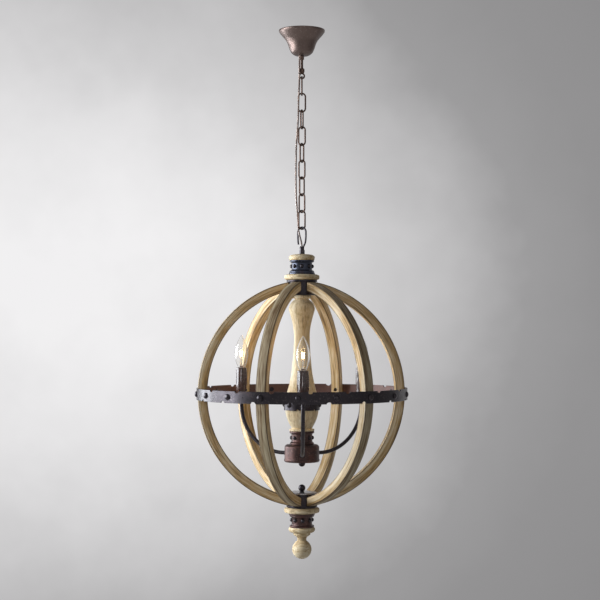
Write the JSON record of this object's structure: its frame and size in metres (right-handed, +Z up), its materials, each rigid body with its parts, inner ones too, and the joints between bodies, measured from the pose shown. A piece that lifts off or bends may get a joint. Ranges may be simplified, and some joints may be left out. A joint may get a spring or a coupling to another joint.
{
  "type": "orb chandelier",
  "caption": "Hanging orb chandelier: curved wooden ribs and an iron band round a turned wooden column with candle lights on bent arms, on a chain with a bell canopy",
  "frame": {"origin": "centre of the ceiling crossbar's upper face, in the plane of the canopy's rim", "axes": "+Z up out of the ceiling face, the chain and the orb hang down along -Z, -Y is the front"},
  "size_m": [0.5404, 0.5446, 1.343],
  "materials": {
    "bronze": "dark bronze paint, rubbed lighter on the edges",
    "chain_steel": "dark bronze, slightly worn",
    "cast_iron": "aged dark iron with rust brown patches",
    "oak": "weathered light wood with a washed stain in the grain",
    "sleeve": "matt dark candle sleeve",
    "socket": "black lamp socket",
    "glass": "clear glass",
    "brass": "plain brass",
    "cord": "clear brown cord jacket"
  },
  "bodies": {
    "ceiling": {"canopy": "bronze", "crossbar": "bronze", "ceiling_nipple": "bronze", "ceiling_nuts": "bronze", "hanging_eye": "bronze", "supply_cord": "cord"},
    "link_1": {"chain_link_1": "chain_steel"},
    "link_2": {"chain_link_2": "chain_steel"},
    "link_3": {"chain_link_3": "chain_steel"},
    "link_4": {"chain_link_4": "chain_steel"},
    "link_5": {"chain_link_5": "chain_steel"},
    "link_6": {"chain_link_6": "chain_steel"},
    "link_7": {"chain_link_7": "chain_steel"},
    "link_8": {"chain_link_8": "chain_steel"},
    "link_9": {"chain_link_9": "chain_steel"},
    "fixture": {"loop_nut": "bronze", "center_pipe": "bronze", "hub_ball": "bronze", "bottom_knob": "bronze", "arm_1": "bronze", "arm_2": "bronze", "arm_3": "bronze", "arm_nuts": "bronze", "candle_cups": "bronze", "fixture_loop": "chain_steel", "top_collar": "cast_iron", "top_hub": "cast_iron", "top_hub_plate": "cast_iron", "bottom_hub": "cast_iron", "bottom_hub_plate": "cast_iron", "bottom_collar": "cast_iron", "equator_band": "cast_iron", "band_rivets": "cast_iron", "rib_bolts": "cast_iron", "rib_nuts": "cast_iron", "column_band": "cast_iron", "base_collar": "cast_iron", "arm_hub": "cast_iron", "arm_hub_lid": "cast_iron", "top_cap": "oak", "top_ring": "oak", "bottom_ring": "oak", "finial": "oak", "column": "oak", "rib_1": "oak", "rib_2": "oak", "rib_3": "oak", "rib_4": "oak", "rib_5": "oak", "rib_6": "oak", "candle_sleeve_1": "sleeve", "candle_sleeve_2": "sleeve", "candle_sleeve_3": "sleeve", "lamp_sockets": "socket"},
    "bulb_1_body": {"bulb_1": "glass", "bulb_base_1": "brass"},
    "bulb_2_body": {"bulb_2": "glass", "bulb_base_2": "brass"},
    "bulb_3_body": {"bulb_3": "glass", "bulb_base_3": "brass"}
  },
  "joints": [
    {"name": "link_1_swing", "type": "hinge", "parent": "ceiling", "child": "link_1", "pos_m": [0, 0, -0.1235], "axis": [0.9397, 0.342, 0], "range_deg": [-20, 20]},
    {"name": "link_2_swing", "type": "hinge", "parent": "link_1", "child": "link_2", "pos_m": [0, 0, -0.16615], "axis": [0, 1, 0], "range_deg": [-20, 20]},
    {"name": "link_3_swing", "type": "hinge", "parent": "link_2", "child": "link_3", "pos_m": [0, 0, -0.20885], "axis": [1, 0, 0], "range_deg": [-20, 20]},
    {"name": "link_4_swing", "type": "hinge", "parent": "link_3", "child": "link_4", "pos_m": [0, 0, -0.25155], "axis": [0.309, 0.9511, 0], "range_deg": [-20, 20]},
    {"name": "link_5_swing", "type": "hinge", "parent": "link_4", "child": "link_5", "pos_m": [0, 0, -0.29425], "axis": [0.9272, -0.3746, 0], "range_deg": [-20, 20], "deforming": ["supply_cord"]},
    {"name": "link_6_swing", "type": "hinge", "parent": "link_5", "child": "link_6", "pos_m": [0, 0, -0.33695], "axis": [0.5, 0.866, 0], "range_deg": [-20, 20]},
    {"name": "link_7_swing", "type": "hinge", "parent": "link_6", "child": "link_7", "pos_m": [0, 0, -0.37965], "axis": [0.8387, -0.5446, 0], "range_deg": [-20, 20]},
    {"name": "link_8_swing", "type": "hinge", "parent": "link_7", "child": "link_8", "pos_m": [0, 0, -0.42235], "axis": [0.6428, 0.766, 0], "range_deg": [-20, 20]},
    {"name": "link_9_swing", "type": "hinge", "parent": "link_8", "child": "link_9", "pos_m": [0, 0, -0.46505], "axis": [0.788, -0.6157, 0], "range_deg": [-20, 20]},
    {"name": "fixture_swing", "type": "hinge", "parent": "link_9", "child": "fixture", "pos_m": [0, 0, -0.50775], "axis": [0.8829, 0.4695, 0], "range_deg": [-20, 20]},
    {"name": "bulb_1_lift", "type": "slide", "parent": "fixture", "child": "bulb_1_body", "axis": [0, 0, 1], "range_m": [0, 0.04]},
    {"name": "bulb_2_lift", "type": "slide", "parent": "fixture", "child": "bulb_2_body", "axis": [0, 0, 1], "range_m": [0, 0.04]},
    {"name": "bulb_3_lift", "type": "slide", "parent": "fixture", "child": "bulb_3_body", "axis": [0, 0, 1], "range_m": [0, 0.04]}
  ]
}
